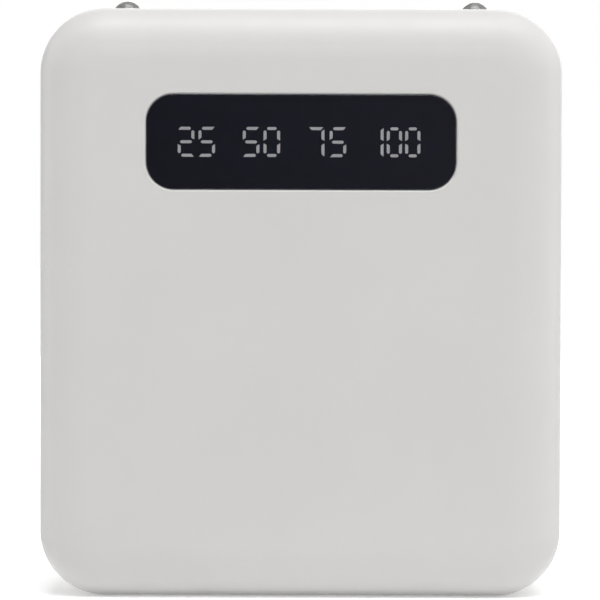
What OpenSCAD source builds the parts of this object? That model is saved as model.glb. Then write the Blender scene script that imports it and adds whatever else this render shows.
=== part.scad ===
// Pocket power bank with a lit charge display, two torch lamps and a side button.
// It stands on its lower edge: +Z is up, the display faces -Y and the origin is under the middle of the base.
// Every module draws in the front view, with x to the right, y up and z towards the viewer, and upright()
// then stands the piece up.

/* [Housing] */
// Width of the housing
body_w = 84.5; // [83:0.5:102]
// Height of the housing
body_h = 95.2; // [94.5:0.1:115]
// Thickness of the housing, front face to rear face
body_t = 24; // [23.6:0.1:28.8]
// Radius of the four corners in the front view
corner_r = 10.6; // [9.4:0.1:11.8]
// Radius of the rolled edges round the front and rear faces
edge_r = 6; // [4.8:0.1:6.4]
// Wall thickness of both covers
wall = 2; // [1.6:0.1:2.4]
// Depth of the rear cover, from the rear face to the parting line
rear_depth = 6.5; // [6.3:0.1:7.8]
// Depth and half width of the V groove along the parting line
seam_groove = 0.3; // [0.1:0.05:0.5]
// Height of the rear cover's locating lip
lip_h = 1.6; // [1.2:0.1:2]
// Thickness of the locating lip
lip_t = 0.9; // [0.7:0.05:1.1]
// Height of the snap catches on the lip
catch_h = 0.35; // [0.2:0.05:0.45]
// Length of a snap catch
catch_len = 8; // [5:0.5:12]
// Distance of the lower side catches above the base
catch_low = 24; // [18:0.5:30]
// Distance of the upper side catches below the top
catch_high = 38; // [32:0.5:42]
// Distance of the base catches from the middle
catch_x = 20; // [10:0.5:24]
// Bevel round the openings in the covers and round the button's face
rim_bevel = 0.25; // [0.1:0.05:0.4]

/* [Display] */
// Height of the display window
window_h = 15.2; // [13:0.1:17]
// Corner radius of the display window
window_r = 4.4; // [3.4:0.1:5.4]
// Distance from the top of the housing down to the middle of the window
window_drop = 21.7; // [20.8:0.1:22.4]
// Thickness of the window
window_t = 1; // [0.8:0.05:1.1]
// How far the window sits below the front face
window_sink = 0.1; // [0:0.05:0.2]
// Width of the bevel round the window
window_bevel = 0.25; // [0.1:0.05:0.35]
// Width of the ledge that carries the window
ledge_w = 2.2; // [1.6:0.1:2.7]
// Width of a digit
digit_w = 2.66; // [2.4:0.01:3.1]
// Height of a digit
digit_h = 4.8; // [4.2:0.05:5.4]
// Stroke of a digit's segments
stroke = 0.48; // [0.44:0.01:0.64]
// Gap between the upper and lower uprights of a digit
stroke_gap = 0.42; // [0.4:0.02:0.7]
// Distance from digit to digit in a two-digit number
digit_pitch = 3.32; // [3.28:0.02:4]
// Distance from digit to digit in the number that starts with the mitred seven
seven_pitch = 3.49; // [3.29:0.01:4]
// Width of a digit in the three-digit number
narrow_w = 2.44; // [2.1:0.02:2.7]
// Distance from digit to digit in the three-digit number
narrow_pitch = 2.95; // [2.9:0.01:3.5]
// Gap between neighbouring two-digit numbers
number_gap = 4.45; // [3.6:0.01:5.2]
// Gap between the last two-digit number and the three-digit number
wide_gap = 3.55; // [2.9:0.05:4.1]
// How far the row of numbers sits below the window's middle
row_drop = 0; // [0:0.02:0.6]
// Distance from the window's left edge to the first number
left_margin = 5.02; // [4.2:0.02:6]
// Distance from the last number to the window's right edge
right_margin = 5.68; // [4.2:0.02:6.8]

/* [Sockets] */
// Outside width of a large socket's shell
usb_a_w = 13.2; // [12.8:0.1:14]
// Outside height of a large socket's shell
usb_a_h = 5.8; // [5.6:0.1:6.2]
// Depth of a large socket's shell
usb_a_depth = 13.2; // [12:0.1:15]
// Distance of each large socket from the middle
usb_a_x = 15.2; // [14:0.1:16.4]
// Outside width of the small socket's shell
usb_c_w = 8.94; // [8.6:0.02:9.4]
// Outside height of the small socket's shell
usb_c_h = 3.26; // [3.1:0.02:3.5]
// Depth of the small socket's shell
usb_c_depth = 7.35; // [6.5:0.05:8.8]
// How far the sockets' mouths sit below the top face
port_recess = 0.8; // [0.4:0.1:1.2]
// Gap between a socket and its opening in the cover
port_gap = 0.3; // [0.2:0.05:0.4]

/* [Torch lamps] */
// Diameter of a lamp's clear lens
lamp_d = 5; // [4.2:0.1:6]
// Length of a lamp from the back of its flange to the tip of its dome
lamp_len = 8.6; // [7.4:0.1:9.4]
// Distance of each lamp from the middle
lamp_x = 28.4; // [27:0.1:29.6]
// How far a lamp's dome stands out of the top face
lamp_proud = 1.55; // [1:0.05:2]

/* [Button] */
// Length of the button's face
button_len = 9.2; // [8:0.1:9.6]
// Width of the button's face
button_w = 3.7; // [3.3:0.1:4.4]
// How far the button stands out of the side
button_proud = 0.3; // [0.2:0.05:0.6]
// Travel of the button
button_travel = 0.4; // [0.25:0.05:0.5]
// Distance from the top of the housing down to the middle of the button
button_drop = 15.1; // [14.7:0.1:15.6]
// Gap round the button in its slot
button_gap = 0.15; // [0.1:0.01:0.25]

/* [Cells and board] */
// Diameter of a cell
cell_d = 18.3; // [15:0.1:18.4]
// Length of a cell with its raised contact
cell_len = 65; // [60:0.5:65]
// Gap between neighbouring cells
cell_gap = 0.2; // [0.1:0.1:0.4]
// Thickness of the circuit board
board_t = 1.2; // [0.8:0.1:1.6]
// Distance of the board's rear face in front of the middle of the housing
board_rear = 3; // [2.9:0.1:3.2]
// Gap between the board's sides and the side walls
board_side_gap = 2.5; // [2.2:0.1:2.8]
// Diameter of the battery leads
lead_d = 1.8; // [1.4:0.1:2]

/* [Hidden] */
$fn = 48;
// Fits: a close fit between parts that seat on each other, and a loose fit for parts that slide
seat = 0.05;
fit = 0.1;
// Overshoot that carries a cut clear of the face it opens
over = 1;

// Inside of the two covers
inner_w = body_w - 2 * wall;
inner_h = body_h - 2 * wall;
inner_t = body_t - 2 * wall;
inner_corner_r = corner_r - wall;
inner_edge_r = edge_r - wall;
front_z = body_t / 2;
inner_front_z = inner_t / 2;
seam_z = rear_depth - body_t / 2;
inner_top = body_h - wall;
side_x = body_w / 2;
inner_side_x = inner_w / 2;

// Parting line: the rebate in the front cover and the catches along it
rebate_t = lip_t + fit;
catch_rise = 1;
catch_z = seam_z + 0.3;
catch_ys = [catch_low, body_h - catch_high];
catch_xs = [-catch_x, catch_x];

// The numbers: each has its digits, its digit pitch, its digit width and the gap that follows it
number_list = [
    [[2, 5], digit_pitch, digit_w, number_gap],
    [[5, 0], digit_pitch, digit_w, number_gap],
    [[7, 5], seven_pitch, digit_w, wide_gap],
    [[1, 0, 0], narrow_pitch, narrow_w, 0]
];
function number_w(n) = (len(n[0]) - 1) * n[1] + n[2];
// Distance from the left end of the row to the left end of number i
function row_start(i) = i == 0 ? 0 : row_start(i - 1) + number_w(number_list[i - 1]) + number_list[i - 1][3];
row_w = row_start(3) + number_w(number_list[3]);
window_w = left_margin + row_w + right_margin;
// The same numbers with the place of each one's middle in the window
numbers = [
    for (i = [0 : 3])
        let (n = number_list[i])
        [n[0], left_margin + row_start(i) + number_w(n) / 2 - window_w / 2, n[1], n[2]]
];

// Display stack, from the window back to the board
window_y = body_h - window_drop;
row_y = window_y - row_drop;
adhesive_t = 0.1;
mask_t = 0.1;
window_front = front_z - window_sink;
window_back = window_front - window_t;
mask_back = window_back - mask_t;
ledge_front = mask_back - adhesive_t;
opening_w = window_w - 2 * ledge_w;
opening_h = window_h - 2 * ledge_w;
opening_r = window_r - ledge_w;
diffuser_t = 0.4;
diffuser_front = mask_back - seat;
reflector_front = diffuser_front - diffuser_t - seat;
reflector_rim = 0.8;
reflector_r = 1;
well_margin = 0.55;

// Segments lit for each digit, in the order top, upper right, lower right, bottom, lower left, upper left, middle
lit = [
    [1, 1, 1, 1, 1, 1, 0],
    [0, 1, 1, 0, 0, 0, 0],
    [1, 1, 0, 1, 1, 0, 1],
    [1, 1, 1, 1, 0, 0, 1],
    [0, 1, 1, 0, 0, 1, 1],
    [1, 0, 1, 1, 0, 1, 1],
    [1, 0, 1, 1, 1, 1, 1],
    [1, 1, 1, 0, 0, 0, 0],
    [1, 1, 1, 1, 1, 1, 1],
    [1, 1, 1, 1, 0, 1, 1]
];
// Shape of the segments: room for the tips of the middle bar, rounding of the ends, gaps between ends, and how
// far the slanted ends run
tip_room = 0.32;
middle_gap = stroke_gap + tip_room;
soft = 0.16;
end_gap = 0.1;
tip_gap = 0.08;
mitre_gap = 0.2;
mitre_drop = 0.34;
slant_run = 0.4;
post_run = 0.28;
middle_in = 0.34;
led_size = [1.6, 0.8, 0.6];
led_pitch = 2;

// Cells stand side by side on the base and clear the rounded lower edges and corners of the housing
cell_count = 4;
strip_t = 0.15;
strip_w = 6;
wall_gap = 0.15;
cell_pitch = cell_d + cell_gap;
cell_xs = [for (i = [0 : cell_count - 1]) (i - (cell_count - 1) / 2) * cell_pitch];
pack_side = cell_xs[cell_count - 1] + cell_d / 2;
// Height of a rounded inner edge of radius r above the wall where something reaches a distance past the
// start of the round
function edge_lift(r, reach) = r - sqrt(max(0, pow(r - wall_gap, 2) - pow(max(0, reach), 2)));
strip_side = pack_side + 0.2;
corner_lift = strip_t + edge_lift(inner_corner_r, strip_side + strip_t - (inner_side_x - inner_corner_r));
roll_lift = edge_lift(inner_edge_r, cell_d / 2 - (inner_front_z - inner_edge_r));
cell_base = wall + max(strip_t + 2 * fit, corner_lift, roll_lift);
nub_h = 1;
nub_d = 6;
ring_t = 0.3;
can_top = cell_base + cell_len - nub_h;
cell_top = cell_base + cell_len;
strip_top = cell_top + strip_t;
strip_reach = 4;
tab_len = 12;
sheet_t = 0.3;
sheet_y = strip_top + 0.2;

// Circuit board, with the sockets, lamps and switch on its rear face
board_front = board_rear + board_t;
board_w = inner_w - 2 * board_side_gap;
board_edge_gap = 0.6;
board_top = inner_top - board_edge_gap;
board_bottom = sheet_y + sheet_t + 0.8;
part_z = board_rear - seat;
screw_d = 1.9;
screw_head_d = 3.5;
screw_head_t = 1.2;
screw_len = 5;
screw_x = board_w / 2 - 2.8;
screw_ys = [board_bottom + 3.6, board_top - 6.6];
boss_d = 4.4;
boss_hole_d = screw_d + fit;

// Sockets
mouth_y = body_h - port_recess;
usb_a_z = part_z - usb_a_h / 2;
usb_a_wall = 0.35;
usb_a_corner = 0.9;
usb_c_z = part_z - usb_c_h / 2;
usb_c_wall = 0.3;
leg_w = 1.6;
leg_t = 0.35;
leg_len = 0.8;
leg_inset = 3.2;
slot_gap = 0.25;

// Torch lamps
lamp_gap = 0.1;
lamp_tip = body_h + lamp_proud;
lamp_flange = lamp_tip - lamp_len;
lamp_flange_t = 1;
lamp_flange_rim = 0.4;
lead_pitch = 2.54;
pin_t = 0.5;
pin_bend_y = lamp_flange - 2.8;
pin_tail = 0.8;

// Button and switch
button_y = body_h - button_drop;
switch_h = 6;
switch_len = 6;
switch_depth = 3.5;
switch_z = part_z - switch_h / 2;
switch_cover_t = 0.3;
plunger_d = 3.4;
plunger_proud = 0.9;
plunger_root = 1;
switch_face = board_w / 2 - plunger_proud - 0.1;
plunger_tip = switch_face + switch_cover_t + plunger_proud;
button_flange_t = 1;
hollow_d = 3;
hollow_depth = 0.14;
hollow_r = (pow(hollow_d / 2, 2) + pow(hollow_depth, 2)) / (2 * hollow_depth);
button_flange_rim = 0.8;
flange_top = button_y + button_len / 2 + button_flange_rim;
button_flange_x = inner_side_x - edge_lift(inner_corner_r, flange_top - (inner_top - inner_corner_r));

// Ribs and posts inside the covers
rib_t = 1.6;
front_rib_ys = [16, 36, 56];
rear_rib_ys = [26, 48];
rib_back = 4.5;
cradle_gap = 0.15;
pad_front = 8;
pad_t = 2;
foam_w = 8;
foam_ys = [9, 29, 51];
foam_len = 14;
post_d = 4;
post_x = 18;
post_y = board_bottom + 2;

// Stands a piece drawn in the front view up on its base
module upright() {
    rotate([90, 0, 0]) children();
}

// Flat rectangle with round corners, centred
module round_rect(w, h, r) {
    square([w - 2 * r, h], center = true);
    square([w, h - 2 * r], center = true);
    for (sx = [-1, 1], sy = [-1, 1])
        translate([sx * (w / 2 - r), sy * (h / 2 - r)]) circle(r);
}

// Plate with round corners, from z_low up to z_high
module round_plate(w, h, r, z_low, z_high) {
    translate([0, 0, z_low]) linear_extrude(z_high - z_low) round_rect(w, h, r);
}

// Half section of a rolled edge: reach wide, t thick, with its two outer corners rounded
module edge_section(reach, t, r) {
    difference() {
        translate([0, -t / 2]) square([reach, t]);
        for (s = [-1, 1])
            translate([reach - r, s * (t / 2 - r)])
                difference() {
                    translate([0, s > 0 ? 0 : -r - over]) square(r + over);
                    circle(r);
                }
    }
}

// Block with round corners in the front view and rolled edges all round, standing on y = 0
module soft_block(w, h, t, rc, re) {
    span_x = w - 2 * rc;
    span_y = h - 2 * rc;
    translate([0, h / 2, 0]) {
        rotate([90, 0, 90]) linear_extrude(span_x, center = true) round_rect(h, t, re);
        for (s = [0, 1])
            rotate(180 * s) translate([span_x / 2, 0, 0])
                rotate([90, 0, 0]) linear_extrude(span_y, center = true) edge_section(rc, t, re);
        for (q = [0 : 3])
            translate([(q == 0 || q == 3 ? 1 : -1) * span_x / 2, (q < 2 ? 1 : -1) * span_y / 2, 0])
                rotate(90 * q) rotate_extrude(angle = 90) edge_section(rc, t, re);
    }
}

// Carries a small flat profile round a rounded rectangle; in the profile, x runs outward from the rectangle's
// edge and y runs towards the viewer
module carry_round(w, h, r) {
    for (q = [0 : 3]) {
        translate([(q == 0 || q == 3 ? 1 : -1) * (w / 2 - r), (q < 2 ? 1 : -1) * (h / 2 - r), 0])
            rotate(90 * q) rotate_extrude(angle = 90) translate([r, 0]) children();
        rotate(90 * q) translate([(q % 2 == 0 ? w : h) / 2, 0, 0]) rotate([90, 0, 0])
            linear_extrude((q % 2 == 0 ? h : w) - 2 * r, center = true) children();
    }
}

// Carries a small flat profile round a shape with straight sides and full round ends, in the same way
module carry_stadium(length, width) {
    for (s = [0, 1])
        rotate(180 * s) {
            translate([(length - width) / 2, 0, 0]) rotate(-90)
                rotate_extrude(angle = 180) translate([width / 2, 0]) children();
            translate([0, width / 2, 0]) rotate([90, 0, 90])
                linear_extrude(length - width, center = true) children();
        }
}

// Section that cuts a bevel round the edge of an opening, with y up out of the opening
module opening_bevel() {
    inside = 0.2;
    polygon([[-inside, -rim_bevel - inside], [rim_bevel + over, over], [-inside, over]]);
}

// Section that cuts a bevel round the edge of a raised face, with y up out of the face
module face_bevel(size) {
    polygon([[-size, 0], [over, size + over], [over, -size - over]]);
}

// Lays a shape drawn flat on the top face, facing up, or on the right side, facing out
module on_top() {
    translate([0, body_h, 0]) rotate([-90, 0, 0]) children();
}

module on_right(x) {
    translate([x, button_y, switch_z]) rotate([90, 0, 90]) children();
}

// Turns a profile drawn in x and y so that it is extruded upwards along y, from y_low to y_high
module rise(y_low, y_high) {
    translate([0, y_high, 0]) rotate([90, 0, 0]) linear_extrude(y_high - y_low) children();
}

// Turns a cylinder so that it runs along x, from x_low to x_high
module along_x(x_low, x_high, d) {
    translate([x_low, 0, 0]) rotate([0, 90, 0]) cylinder(h = x_high - x_low, d = d);
}

// The housing's outside, and the space inside its walls
module outer_block() {
    soft_block(body_w, body_h, body_t, corner_r, edge_r);
}

module inner_block() {
    translate([0, wall, 0]) soft_block(inner_w, inner_h, inner_t, inner_corner_r, inner_edge_r);
}

// Outline of the housing drawn in by inset, as a plate about the middle of the front view
module inset_plate(inset, z_low, z_high) {
    translate([0, body_h / 2, 0])
        round_plate(body_w - 2 * inset, body_h - 2 * inset, corner_r - inset, z_low, z_high);
}

// V groove cut half into each cover along the parting line
module seam_cut() {
    translate([0, body_h / 2, seam_z])
        carry_round(body_w, body_h, corner_r)
            polygon([[over, -seam_groove - over], [over, seam_groove + over], [-seam_groove, 0]]);
}

// One snap catch, a ridge of triangular section that grows by grow for its pocket
module snap_ridge(grow) {
    rotate([90, 0, 0]) linear_extrude(catch_len + 2 * grow, center = true)
        polygon([[-fit, -grow], [catch_h + grow, catch_rise / 2], [-fit, catch_rise + grow]]);
}

// All snap catches round the lip, or their pockets
module snap_ridges(grow) {
    lip_x = side_x - wall + lip_t;
    for (y = catch_ys, s = [0, 1])
        translate([(1 - 2 * s) * lip_x, y, catch_z]) rotate(180 * s) snap_ridge(grow);
    for (x = catch_xs)
        translate([x, wall - lip_t, catch_z]) rotate(-90) snap_ridge(grow);
}

// Openings through the top and side walls for the sockets, lamps and button
module wall_openings() {
    usb_a_opening = [usb_a_w + 2 * port_gap, usb_a_h + 2 * port_gap, usb_a_corner + port_gap];
    usb_c_opening = [usb_c_w + 2 * port_gap, usb_c_h + 2 * port_gap];
    lamp_hole_d = lamp_d + 2 * lamp_gap;
    slot = [button_len + 2 * button_gap, button_w + 2 * button_gap];
    for (s = [-1, 1]) {
        translate([s * usb_a_x, 0, usb_a_z]) {
            rise(inner_top - over, body_h + over)
                round_rect(usb_a_opening[0], usb_a_opening[1], usb_a_opening[2]);
            on_top() carry_round(usb_a_opening[0], usb_a_opening[1], usb_a_opening[2]) opening_bevel();
        }
        translate([s * lamp_x, 0, 0]) on_top() {
            translate([0, 0, -wall - over]) cylinder(h = wall + 2 * over, d = lamp_hole_d);
            translate([0, 0, -rim_bevel])
                cylinder(h = rim_bevel + over, d1 = lamp_hole_d, d2 = lamp_hole_d + 2 * (rim_bevel + over));
        }
    }
    translate([0, 0, usb_c_z]) {
        rise(inner_top - over, body_h + over) stadium(usb_c_opening[0], usb_c_opening[1]);
        on_top() carry_stadium(usb_c_opening[0], usb_c_opening[1]) opening_bevel();
    }
    on_right(inner_side_x - over) linear_extrude(wall + 2 * over) stadium(slot[0], slot[1]);
    on_right(side_x) carry_stadium(slot[0], slot[1]) opening_bevel();
}

// Flat shape with straight sides and full round ends
module stadium(length, width) {
    square([length - width, width], center = true);
    for (s = [-1, 1])
        translate([s * (length - width) / 2, 0]) circle(d = width);
}

// Turns a cylinder so that it stands along y, from y_low to y_high
module along_y(y_low, y_high, d) {
    translate([0, y_high, 0]) rotate([90, 0, 0]) cylinder(h = y_high - y_low, d = d);
}

// Cells as plain cylinders, grown by a gap, for the cradles that hold them
module cell_clearance(gap) {
    for (x = cell_xs)
        translate([x, 0, 0]) along_y(0, body_h, cell_d + 2 * gap);
}

// Ribs that the cells lie in, at each of the given heights, standing on the front or the rear wall
module cell_cradles(heights, facing) {
    reach = pack_side - cell_d / 2 + 0.35 * cell_d;
    difference() {
        for (y = heights)
            mirror([0, 0, facing > 0 ? 0 : 1]) translate([-reach, y - rib_t / 2, rib_back])
                cube([2 * reach, rib_t, inner_front_z - rib_back + seat]);
        cell_clearance(cradle_gap);
    }
}

// Pads on the base that the cells stand on
module end_pads() {
    for (x = cell_xs)
        translate([x - pad_t / 2, wall - seat, rib_back])
            cube([pad_t, cell_base - wall - wall_gap + seat, pad_front - rib_back]);
}

// Posts that the board is screwed to
module board_bosses() {
    for (s = [-1, 1], y = screw_ys)
        translate([s * screw_x, y, board_front + seat])
            cylinder(h = inner_front_z - board_front, d = boss_d);
}

module board_boss_holes() {
    for (s = [-1, 1], y = screw_ys)
        translate([s * screw_x, y, board_front - over])
            cylinder(h = screw_len - board_t + 0.4 + over, d = boss_hole_d);
}

// Front cover: the deep shell with the display recess, the openings in its walls and the posts and ribs inside
module front_cover() {
    color([0.80, 0.80, 0.79]) upright()
        difference() {
            union() {
                difference() {
                    outer_block();
                    inner_block();
                    translate([-body_w, -over, -body_t + seam_z]) cube([2 * body_w, body_h + 2 * over, body_t]);
                }
                intersection() {
                    union() {
                        cell_cradles(front_rib_ys, 1);
                        end_pads();
                        board_bosses();
                    }
                    outer_block();
                }
            }
            inset_plate(wall - rebate_t, seam_z - over, seam_z + lip_h + fit);
            snap_ridges(fit);
            seam_cut();
            wall_openings();
            board_boss_holes();
            translate([0, window_y, 0]) {
                round_plate(window_w + 2 * fit, window_h + 2 * fit, window_r + fit, ledge_front, front_z + over);
                translate([0, 0, front_z])
                    carry_round(window_w + 2 * fit, window_h + 2 * fit, window_r + fit) opening_bevel();
                round_plate(opening_w, opening_h, opening_r, inner_front_z - over, front_z);
            }
        }
}

// Rear cover: the shallow shell with its locating lip, snap catches and the posts that steady the board
module rear_cover() {
    color([0.79, 0.79, 0.78]) upright()
        difference() {
            union() {
                difference() {
                    outer_block();
                    inner_block();
                    translate([-body_w, -over, seam_z]) cube([2 * body_w, body_h + 2 * over, body_t]);
                }
                difference() {
                    union() {
                        inset_plate(wall - lip_t, seam_z, seam_z + lip_h);
                        snap_ridges(0);
                    }
                    inset_plate(wall - seat, seam_z - over, seam_z + lip_h + over);
                    wall_openings();
                }
                for (s = [-1, 1])
                    translate([s * post_x, post_y, -inner_front_z - seat])
                        cylinder(h = inner_front_z + part_z + seat, d = post_d);
                intersection() {
                    cell_cradles(rear_rib_ys, -1);
                    outer_block();
                }
            }
            seam_cut();
        }
}

// Smoked window with a polished bevel
module display_window() {
    color([0.05, 0.05, 0.07]) upright() translate([0, window_y, 0])
        difference() {
            round_plate(window_w, window_h, window_r, window_back, window_front);
            translate([0, 0, window_front]) carry_round(window_w, window_h, window_r) face_bevel(window_bevel);
        }
}

// Double-sided tape that holds the window and its mask on the ledge
module window_adhesive() {
    color([0.15, 0.15, 0.15]) upright() translate([0, window_y, 0])
        difference() {
            round_plate(window_w - 2 * fit, window_h - 2 * fit, window_r - fit, ledge_front, mask_back);
            round_plate(opening_w + 2 * fit, opening_h + 2 * fit, opening_r + fit,
                ledge_front - over, mask_back + over);
        }
}

// Corners of a bar's end, from its outer to its inner edge. Here side is -1 at the left and 1 at the right, and
// up is -1 at the bottom and 1 at the top of the digit. Next to a lit upright the end is softly rounded, and
// elsewhere it is slanted with its tip at the outer edge, or at the inner edge for a pen stroke.
function bar_y(up, inward) = up * (digit_h / 2 - inward);
function round_end(w, side, up) =
    let (x = side * (w / 2 - stroke - end_gap), s = side * soft)
    [[x - s, bar_y(up, 0)], [x, bar_y(up, soft)], [x, bar_y(up, stroke - soft)], [x - s, bar_y(up, stroke)]];
function slant_end(w, side, up, gap, pen) =
    let (x = side * (w / 2 - gap), short = x - side * slant_run)
    [[pen ? short : x, bar_y(up, 0)], [pen ? x : short, bar_y(up, stroke)]];
function bar_end(w, side, up, joined, gap, pen) =
    joined ? round_end(w, side, up) : slant_end(w, side, up, gap, pen);
function backwards(points) = [for (i = [len(points) - 1 : -1 : 0]) points[i]];

// Top or bottom bar of a digit
module outer_bar(w, up, left_joined, right_joined, gap = tip_gap, pen = false) {
    right_points = bar_end(w, 1, up, right_joined, gap, false);
    left_points = bar_end(w, -1, up, left_joined, gap, pen);
    polygon(concat(right_points, backwards(left_points)));
}

// Middle bar of a digit, pointed at both ends
module middle_bar(w) {
    reach = w / 2 - middle_in;
    half = stroke / 2;
    polygon([[-reach, 0], [half - reach, half], [reach - half, half], [reach, 0], [reach - half, -half],
        [half - reach, -half]]);
}

// One upright of a digit: it is cut at a slant next to the middle, and at its far end it is blunt next to a
// rounded bar, or else slanted with its tip on the outside, further in where it is mitred with a bar
module outer_post(w, side, up, gap, joined, mitred = false) {
    outside = side * w / 2;
    inside = side * (w / 2 - stroke);
    near = gap / 2;
    far = digit_h / 2 - (mitred ? mitre_drop : joined ? stroke + end_gap : end_gap);
    blunt = [[outside, far - soft], [outside - side * soft, far], [inside + side * soft, far],
        [inside, far - soft]];
    slant = [[outside, far], [inside, far - slant_run]];
    corners = concat([[inside, near + post_run], [outside, near]], joined && !mitred ? blunt : slant);
    polygon([for (c = corners) [c[0], up * c[1]]]);
}

// The lit segments of one digit; the two starts with a pen stroke and the seven has a mitred corner
module digit(value, w) {
    on = lit[value];
    mitred = value == 7;
    gap = on[6] ? middle_gap : stroke_gap;
    if (on[0]) outer_bar(w, 1, on[5], on[1] && !mitred, mitred ? mitre_gap : tip_gap, value == 2);
    if (on[3]) outer_bar(w, -1, on[4], on[2]);
    if (on[6]) middle_bar(w);
    if (on[1]) outer_post(w, 1, 1, gap, on[0], mitred);
    if (on[2]) outer_post(w, 1, -1, gap, on[3]);
    if (on[4]) outer_post(w, -1, -1, gap, on[3]);
    if (on[5]) outer_post(w, -1, 1, gap, on[0]);
}

// All four numbers
module segment_shapes() {
    for (number = numbers)
        for (i = [0 : len(number[0]) - 1])
            translate([number[1] + (i - (len(number[0]) - 1) / 2) * number[2], 0])
                digit(number[0][i], number[3]);
}

// Width of a number's light well
function well_w(number) =
    (len(number[0]) - 1) * number[2] + number[3] + 2 * well_margin;

// Opaque film on the back of the window, with an opening for each lit segment
module display_mask() {
    color([0.03, 0.03, 0.035]) upright() translate([0, window_y, mask_back])
        linear_extrude(mask_t)
            difference() {
                round_rect(window_w - 2 * fit, window_h - 2 * fit, window_r - fit);
                translate([0, -row_drop]) segment_shapes();
            }
}

// White film that spreads the light behind the segments
module display_diffuser() {
    color([0.85, 0.86, 0.88]) upright() translate([0, window_y, 0])
        round_plate(opening_w - 2 * fit, opening_h - 2 * fit, opening_r - fit,
            diffuser_front - diffuser_t, diffuser_front);
}

// Light guard between the window and the board, with one well for each number
module display_reflector() {
    row_x = (left_margin - right_margin) / 2;
    guard_w = row_w + 2 * (well_margin + reflector_rim);
    guard_h = digit_h + 2 * (well_margin + reflector_rim);
    color([0.12, 0.12, 0.13]) upright() translate([0, row_y, 0])
        difference() {
            translate([row_x, 0, 0])
                round_plate(guard_w, guard_h, reflector_r, board_front + seat, reflector_front);
            for (number = numbers)
                translate([number[1], 0, board_front])
                    linear_extrude(front_z - board_front)
                        square([well_w(number), digit_h + 2 * well_margin], center = true);
        }
}

// Lamps on the board, a pair in each well and three behind the wide number
module display_leds() {
    color([0.95, 0.93, 0.75]) upright()
        for (number = numbers)
            for (i = [0 : len(number[0]) - 1])
                translate([number[1] + (i - (len(number[0]) - 1) / 2) * led_pitch, row_y, board_front + seat])
                    translate([-led_size[0] / 2, -led_size[1] / 2, 0]) cube(led_size);
}

// Slots and holes through the board for the sockets' legs, the lamps' pins and the screws
module board_holes() {
    for (s = [-1, 1]) {
        for (e = [-1, 1]) {
            translate([s * usb_a_x + e * (usb_a_w - leg_t) / 2, mouth_y - usb_a_depth + leg_inset])
                square([leg_t + 2 * slot_gap, leg_w + 2 * slot_gap], center = true);
            translate([s * lamp_x + e * lead_pitch / 2, pin_bend_y + pin_t / 2]) circle(d = 1);
        }
        translate([s * (usb_c_w - usb_c_wall) / 2, mouth_y - usb_c_depth + leg_inset / 2])
            square([usb_c_wall + 2 * slot_gap, leg_w + 2 * slot_gap], center = true);
        for (y = screw_ys)
            translate([s * screw_x, y]) circle(d = screw_d + 3 * fit);
    }
}

// Circuit board behind the display
module main_board() {
    color([0.08, 0.32, 0.16]) upright() translate([0, 0, board_rear])
        linear_extrude(board_t)
            difference() {
                intersection() {
                    translate([0, body_h / 2])
                        round_rect(inner_w - 2 * board_edge_gap, inner_h - 2 * board_edge_gap,
                            inner_corner_r - board_edge_gap);
                    translate([-board_w / 2, board_bottom]) square([board_w, board_top - board_bottom]);
                }
                board_holes();
            }
}

// Screws that hold the board on its posts
module board_screws() {
    color([0.55, 0.55, 0.57]) upright()
        for (s = [-1, 1], y = screw_ys)
            translate([s * screw_x, y, part_z]) {
                cylinder(h = screw_len, d = screw_d);
                difference() {
                    translate([0, 0, -screw_head_t]) cylinder(h = screw_head_t, d = screw_head_d);
                    for (turn = [0, 90])
                        rotate(turn) translate([0, 0, -screw_head_t])
                            cube([screw_head_d * 0.6, 0.5, screw_head_t], center = true);
                }
            }
}

// Legs that hold a socket's shell in the board
module shell_legs(w, depth, inset, t) {
    for (s = [-1, 1])
        translate([s * (w - t) / 2 - t / 2, mouth_y - depth + inset - leg_w / 2, part_z - 1])
            cube([t, leg_w, board_t + leg_len + seat + 1]);
}

// Shell of a large socket, bent from sheet, with a pair of spring fingers in its rear side
module usb_a_shell(side) {
    finger_w = 1.8;
    finger_len = 5;
    color([0.72, 0.72, 0.73]) upright() translate([side * usb_a_x, 0, 0])
        difference() {
            union() {
                translate([0, 0, usb_a_z]) rise(mouth_y - usb_a_depth, mouth_y)
                    round_rect(usb_a_w, usb_a_h, usb_a_corner);
                shell_legs(usb_a_w, usb_a_depth, leg_inset, leg_t);
            }
            translate([0, 0, usb_a_z]) rise(mouth_y - usb_a_depth - over, mouth_y + over)
                round_rect(usb_a_w - 2 * usb_a_wall, usb_a_h - 2 * usb_a_wall, usb_a_corner - usb_a_wall);
            for (s = [-1, 1])
                translate([s * usb_a_w / 4, mouth_y - 2.2 - finger_len, usb_a_z - usb_a_h / 2 - over])
                    difference() {
                        translate([-finger_w / 2 - 0.3, 0, 0]) cube([finger_w + 0.6, finger_len, 2 * over]);
                        translate([-finger_w / 2, -over, -over])
                            cube([finger_w, finger_len + over - 0.4, 4 * over]);
                    }
        }
}

// Places on a large socket's tongue, measured from its mouth
tongue_t = 1.84;
tongue_w = 11.1;
tongue_back = usb_a_z - usb_a_h / 2 + usb_a_wall + 0.8;
tongue_face = tongue_back + tongue_t;
tongue_recess = 1.6;
tongue_tip = mouth_y - tongue_recess;
block_y = mouth_y - usb_a_depth + 4;
block_end = mouth_y - usb_a_depth - 0.6;
contact_xs = [-3.5, -1, 1, 3.5];
contact_w = 1;
contact_t = 0.25;
contact_proud = 0.06;

// The four contacts of a large socket, with tails down to the board
module usb_a_contact_bars() {
    for (x = contact_xs) {
        translate([x - contact_w / 2, block_end - 0.5, tongue_face + contact_proud - contact_t])
            cube([contact_w, tongue_tip - 1.1 - block_end + 0.5, contact_t]);
        translate([x - contact_w / 2, block_end - 0.5, tongue_face + contact_proud - contact_t])
            cube([contact_w, 0.4, part_z - tongue_face - contact_proud + contact_t]);
    }
}

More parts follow.
